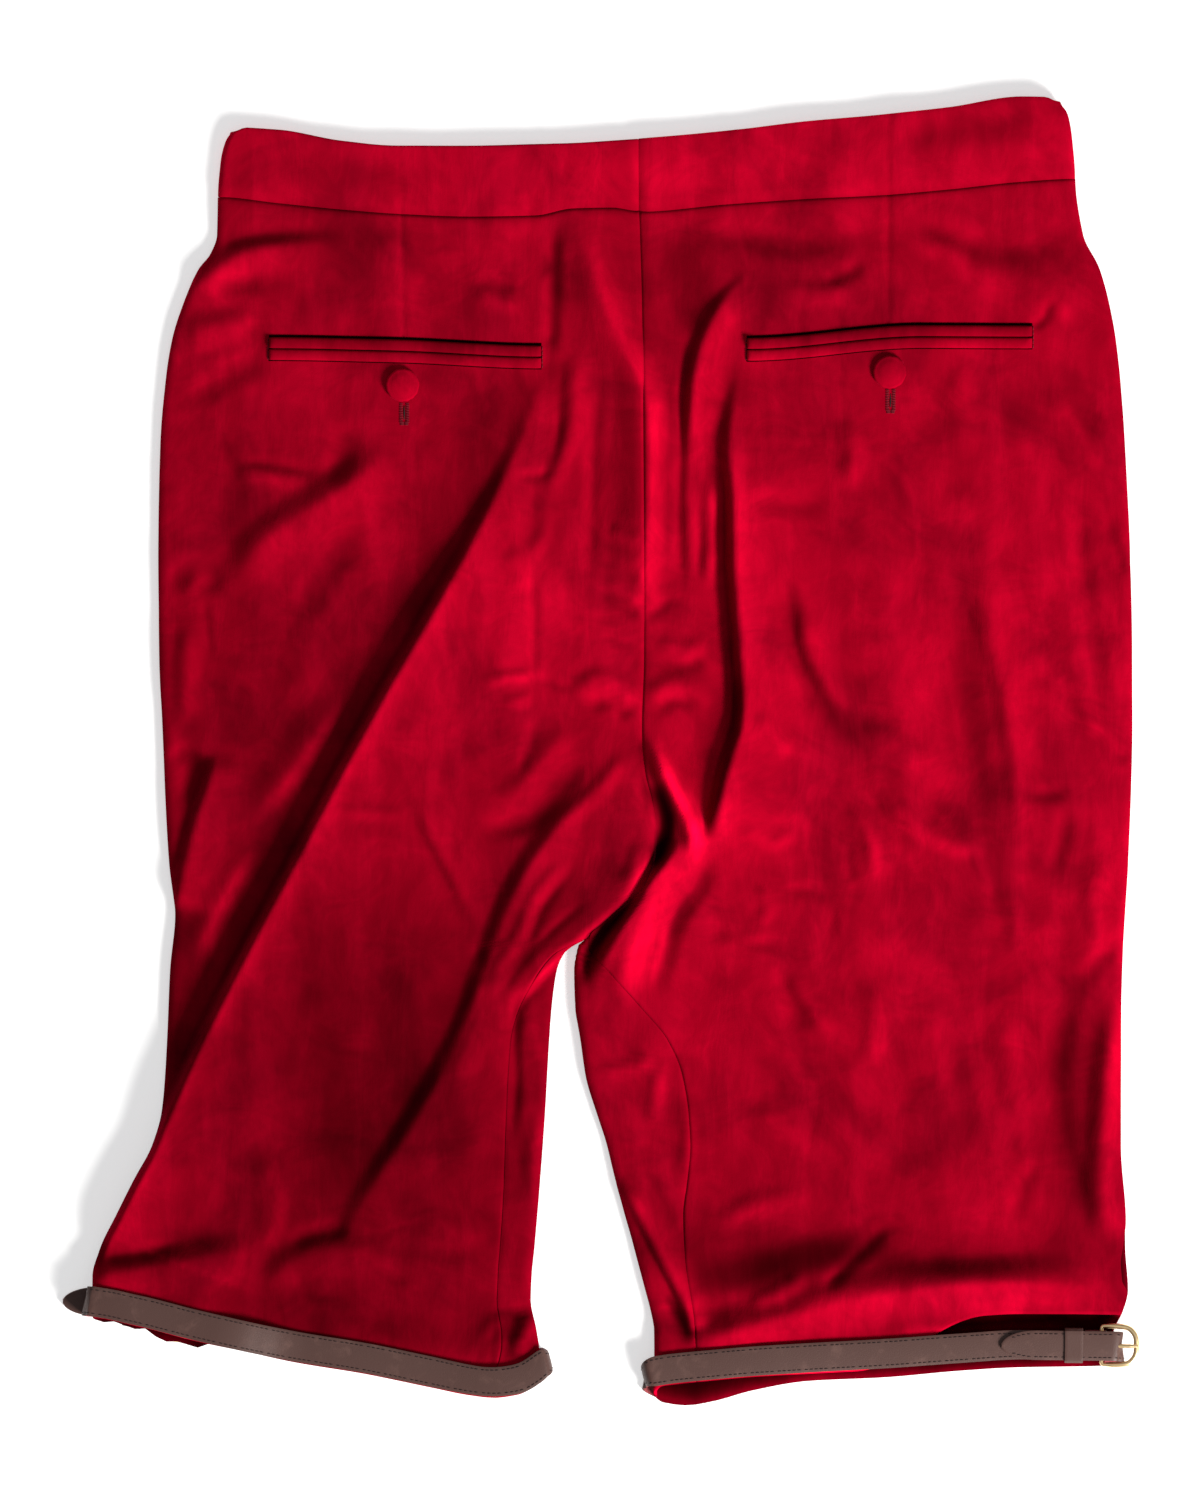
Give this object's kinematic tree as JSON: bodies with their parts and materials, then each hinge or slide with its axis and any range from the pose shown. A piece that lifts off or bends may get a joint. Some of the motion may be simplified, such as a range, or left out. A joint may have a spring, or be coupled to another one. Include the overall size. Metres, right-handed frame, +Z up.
{
  "type": "velvet knee shorts",
  "caption": "Velvet knee shorts laid flat with the back up: wide waistband, welt pockets with covered buttons, soft folds and buckled leather knee straps.",
  "frame": {"origin": "middle of the footprint of the whole garment, on the surface it lies on", "axes": "+Y from the hems to the waistband, +Z up from the surface, +X to the wearer's right, which is the viewer's right when the back faces up"},
  "size_m": [0.5369, 0.6522, 0.0181],
  "materials": {
    "velvet": "deep red cotton velvet pile",
    "leather": "smooth dark brown leather with a red lining face",
    "brass": "polished pale brass"
  },
  "bodies": {
    "root": {"back_left": "velvet", "back_right": "velvet", "front_left": "velvet", "front_right": "velvet", "waistband_left": "velvet", "waistband_right": "velvet", "welt_upper_left": "velvet", "welt_lower_left": "velvet", "welt_upper_right": "velvet", "welt_lower_right": "velvet", "pocket_button_left": "velvet", "pocket_button_right": "velvet", "strap_left": "leather", "strap_right": "leather", "keeper_left": "leather", "keeper_right": "leather", "buckle_left": "brass", "buckle_right": "brass", "prong_left": "brass", "prong_right": "brass"}
  },
  "joints": []
}
